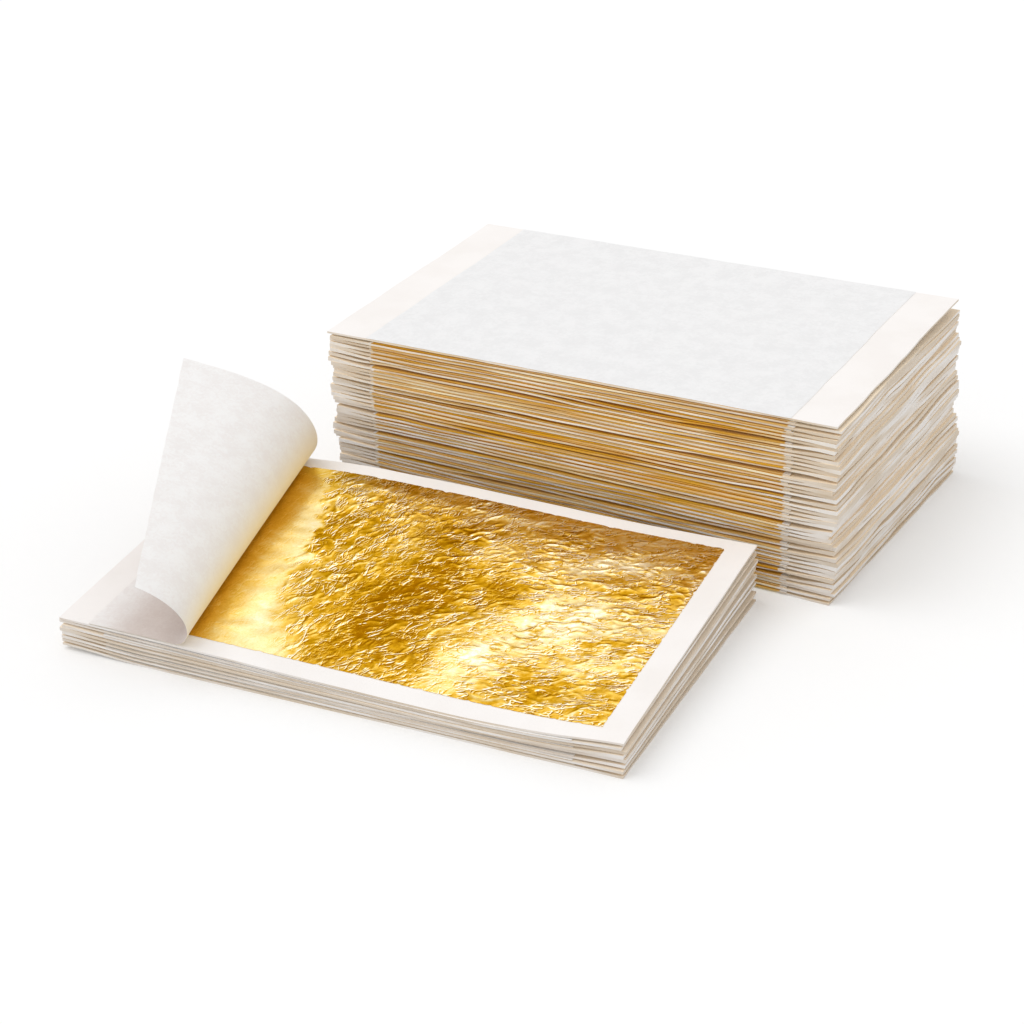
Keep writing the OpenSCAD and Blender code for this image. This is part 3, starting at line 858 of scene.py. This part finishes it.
creasing = {
    "columns": 365, "rows": 237,
    "smoothEdge": [  # where its smooth left part ends: mm from the front, mm from the left
        (0, 28.4), (2, 27), (9, 23), (17, 18.7), (22, 16.6), (31.4, 15.6), (41, 13.1), (50, 8.1), (52, 7.2)],
    "foot": (9.7, 1.6),  # where the curl hides the leaf, at the front and at the back
    "turns": (78, 56, 14),  # how the creases run at the left, in the middle and at the right
    "bands": (31, 50),  # where one way of running gives place to the next
    "creases": [(8, 3.2, 0.3, 1.0), (4.2, 1.8, 0.26, 0.7)],  # length, width, half the width of a line, height
    "height": 0.09, "crumple": 0.02, "swell": 0.25, "swellSize": 14,
    "lit": 1.2, "litFrom": (-0.8, 0.6), "paleLit": 0.6,  # how strong the painted light and shade on slopes are, less where it is pale
    "ridge": 0.22, "paleRidge": 0.42,                    # how strong the painted highlight on ridges is, less where it is pale
    "pale": (0.55, 0.78),                                # the tones over which the gold turns pale
    "crumpledTone": 0.27, "smoothTone": (0.43, 0.34, 11),  # the smooth part lightens over 11 mm from its foot: a painted reflection of the curl, darker near it
    "raggedness": (0.4, 1.6, 1.2),  # how far its rim strays, the size of a notch, how far in it is felt
    "patches": [  # lighter and darker areas, partly the gold's own tone and partly painted sheen and reflection: x, y, half length, half width, turn, strength
        (61, 22, 14, 7.5, 60, 0.5), (54, 7, 9, 5.0, 75, 0.38), (66, 42, 10, 2.8, 12, 0.5),
        (45, 38, 6, 3.4, 60, 0.2), (75, 26, 8, 5.0, 10, 0.38), (73, 14, 7, 3.0, 10, 0.3),
        (71, 52, 5, 1.6, 15, 0.45), (47, 50, 6, 1.8, 8, 0.4), (22, 50, 5, 2, 10, 0.25),
        (17.5, 26, 2.4, 4.5, 80, 0.5), (38, 22, 15, 8, 80, -0.32), (31, 45, 8, 3.0, -14, -0.12),
        (58, 48, 7, 1.8, -5, -0.2), (66, 6, 6, 4.5, 40, -0.2), (52, 30, 6, 2.4, 25, -0.15),
        (70, 34, 9, 1.2, 8, -0.2), (72, 20, 8, 1.1, 14, -0.2), (77, 46, 4, 2, 70, -0.15)]}


def rolled(x, y, turn):  # coordinates along and across a direction
    c, s = math.cos(math.radians(turn)), math.sin(math.radians(turn))
    return c * x + s * y, c * y - s * x


def creaseLines(x, y, turn, length, width, line, seed):  # lines of even width where stretched noise is nought
    along, across = rolled(x, y, turn)
    wobble = 1.2 * octaves(x, y, 5.0, seed + 20, 2)
    noise = gradientNoise(along / length, (across + wobble) / width, seed)
    steep = np.hypot(*np.gradient(noise, x[1, 0] - x[0, 0], y[0, 1] - y[0, 0]))
    strength = eased(gradientNoise(along / length * 1.6 + 9, across / width * 1.1 + 4, seed + 50), -0.25, 0.3)
    return np.exp(-(noise / np.maximum(steep, 0.02) / line) ** 2) * strength


def creasedLeaf(s):
    sheet = sheetsOf("exposed_leaf")[0]
    length, width, thickness = sheet["size"] / mm
    x, y = np.meshgrid(np.linspace(0, length, s["columns"]), np.linspace(0, width, s["rows"]), indexing="ij")
    smoothEdge = np.interp(y, *zip(*s["smoothEdge"])) - 1.6 * octaves(x, y, 2.2, 71)
    gentle = 3.5 * (1 - eased(y, 8, 34))
    crumpled = eased(x - smoothEdge, -1 - gentle, 1.4 + gentle)
    foot = s["foot"][0] + (s["foot"][1] - s["foot"][0]) * y / width
    right = eased(x + 6 * octaves(x, y, 16, 90), s["bands"][1] - 6, s["bands"][1] + 6)
    middle = eased(x + 5 * octaves(x, y, 14, 95), s["bands"][0] - 5, s["bands"][0] + 5) * (1 - right)
    lines = np.zeros_like(x)
    for k, (long, wide, line, strength) in enumerate(s["creases"]):
        for share, turn in zip((1 - right - middle, middle, right), s["turns"]):
            lines += strength * share * creaseLines(x, y, turn, long, wide, line, 11 + 7 * k + turn)
    lines = np.clip(lines, 0, 1.5) * (0.1 + 0.9 * crumpled)
    grain = octaves(x, y, 1.1, 180, 2) * crumpled

    patched = s["crumpledTone"] + 0.15 * octaves(x, y, 12, 140) + 0.13 * octaves(x, y, 3.2, 150)
    # painted sheen: lighter towards the back and the right
    patched += 0.12 * eased(y, 38, 48) + 0.12 * right + 0.1 * eased(x, 48, 60) * eased(y, 26, 46)
    wanderX, wanderY = 2.2 * octaves(x, y, 8, 301), 2.2 * octaves(x, y, 8, 331)
    for middleX, middleY, halfLength, halfWidth, turn, strength in s["patches"]:
        along, across = rolled(x + wanderX - middleX, y + wanderY - middleY, turn)
        patched += strength * (1 - eased(np.hypot(along / halfLength, across / halfWidth), 0.35, 1.35))
    wisps = np.maximum(0, octaves(x * 0.5 + y * 0.6, y - 0.3 * x, 3, 165))
    lowest, lightening, over = s["smoothTone"]
    plain = lowest + lightening * eased(x - foot, 0, over) + 0.05 * octaves(x, y, 5, 160) + 0.12 * wisps
    tone = patched * crumpled + plain * (1 - crumpled)

    rim = np.minimum(np.minimum(x, length - x), np.minimum(y, width - y))
    swells = s["swell"] * (1 + octaves(x, y, s["swellSize"], 190)) * eased(rim, 0, 4)
    creased = s["height"] * lines + s["crumple"] * (1 + grain)
    slopeX, slopeY = np.gradient(creased, x[1, 0] - x[0, 0], y[0, 1] - y[0, 0])
    pale = eased(tone, *s["pale"])
    litX, litY = s["litFrom"]
    # painted light and shade on the creases' slopes, and a painted highlight on their ridges, both weaker
    # where the gold is pale
    lit = s["lit"] * (litX * slopeX + litY * slopeY) * (1 - s["paleLit"] * pale)
    ridged = (s["ridge"] - s["paleRidge"] * pale) * lines
    tone = np.minimum(tone, 0.9) + lit + ridged + 0.1 * grain
    height = creased * eased(rim, 0, 0.6) + swells

    paperPlace = onOpenPaper(sheet["corner"])
    depth = (y + paperPlace[1]) * mm / openPaper["size"][1]
    lift = curl["liftFront"] + (curl["liftBack"] - curl["liftFront"]) * depth
    height *= eased(x + paperPlace[0] - lift, 0.3, 3.5)  # flat where the tissue lies on it
    stray, notch, felt = s["raggedness"]
    ragged = np.maximum(0, octaves(x, y, notch, 210) - 0.1) * stray
    nearX = np.sign(length / 2 - x) * (1 - eased(np.minimum(x, length - x), 0, felt))
    nearY = np.sign(width / 2 - y) * (1 - eased(np.minimum(y, width - y), 0, felt))
    placeX, placeY = x + ragged * nearX, y + ragged * nearY
    sag = sagAt(settled, placeX + paperPlace[0], placeY + paperPlace[1], 1.0)
    upper = onTop(sheet, placeX, placeY, thickness + height - sag)
    lower = onTop(sheet, placeX, placeY, -sag)
    flatPlace = np.stack([x, y, 0 * x], -1) * mm
    runs = np.stack([middle, right, 0.1 + 0.9 * crumpled], -1)
    piece = skinned("exposedLeaf", upper, lower, 4, leafCreased, {
        "sheetPlace": flatPlace, "tone": tone, "runs": runs})
    finished(piece, "exposed_leaf")


creasedLeaf(creasing)
print("bare leaf made")


# Floor, lamps and background

stageLook = {
    "floorSize": 6.0, "floor": (0.7, 0.7, 0.7, 1), "seenFloor": (0.995, 0.995, 0.995, 1), "shadowLift": 0.2,
    "ambient": 0.78,
    "sunFrom": (-0.5, -0.25, 1.0), "sunAngle": 45, "sun": 0.9,
    "sheenPlace": (-0.32, 0.60, 0.78), "sheenSize": (0.5, 0.3), "sheen": 0.35}  # seen only in what shines


def seenRays(tree):  # 1 for rays that see or mirror the background, 0 for the light that falls on things
    rays = put(tree, "ShaderNodeLightPath").outputs
    mirrored = sums(tree, "MAXIMUM", rays["Is Glossy Ray"], rays["Is Transmission Ray"])
    return sums(tree, "MAXIMUM", rays["Is Camera Ray"], mirrored)


def addStage(s):
    mesh = bpy.data.meshes.new("floor")
    half = s["floorSize"] / 2
    corners = [(-half, -half, 0), (half, -half, 0), (half, half, 0), (-half, half, 0)]
    mesh.from_pydata(corners, [], [(0, 1, 2, 3)])
    floor = newObject("floor", mesh)
    material, tree = newMaterial("floor")
    plain = put(tree, "ShaderNodeBsdfDiffuse", {"Color": s["floor"]})
    white = put(tree, "ShaderNodeBsdfDiffuse", {"Color": s["seenFloor"]})
    glow = put(tree, "ShaderNodeEmission", {"Color": (1, 1, 1, 1), "Strength": 1.0})
    seen = mixedShaders(tree, s["shadowLift"], white, glow)
    surface(tree, mixedShaders(tree, seenRays(tree), plain, seen))
    mesh.materials.append(material)

    world = bpy.data.worlds.new("world")
    bpy.context.scene.world = world
    world.use_nodes = True
    tree = world.node_tree
    tree.nodes.clear()
    strength = put(tree, "ShaderNodeMix", {
        0: seenRays(tree), 2: s["ambient"], 3: 1.0}, data_type="FLOAT").outputs[0]
    sky = put(tree, "ShaderNodeBackground", {"Color": (1, 1, 1, 1), "Strength": strength})
    put(tree, "ShaderNodeOutputWorld", {"Surface": sky.outputs[0]})

    lamp = bpy.data.lights.new("sun", "SUN")
    lamp.energy = s["sun"]
    lamp.angle = math.radians(s["sunAngle"])
    sun = newObject("sun", lamp)
    sun.rotation_euler = Vector(s["sunFrom"]).to_track_quat("Z", "Y").to_euler()
    sun.visible_glossy = False

    lamp = bpy.data.lights.new("sheen", "AREA")
    lamp.shape = "RECTANGLE"
    lamp.size, lamp.size_y = s["sheenSize"]
    lamp.energy = s["sheen"]
    sheen = newObject("sheen", lamp)
    sheen.location = s["sheenPlace"]
    sheen.rotation_euler = Vector(s["sheenPlace"]).to_track_quat("Z", "Y").to_euler()
    sheen.visible_diffuse = False
    sheen.visible_camera = False


addStage(stageLook)
bpy.context.scene.view_settings.view_transform = "Standard"
print("stage made")
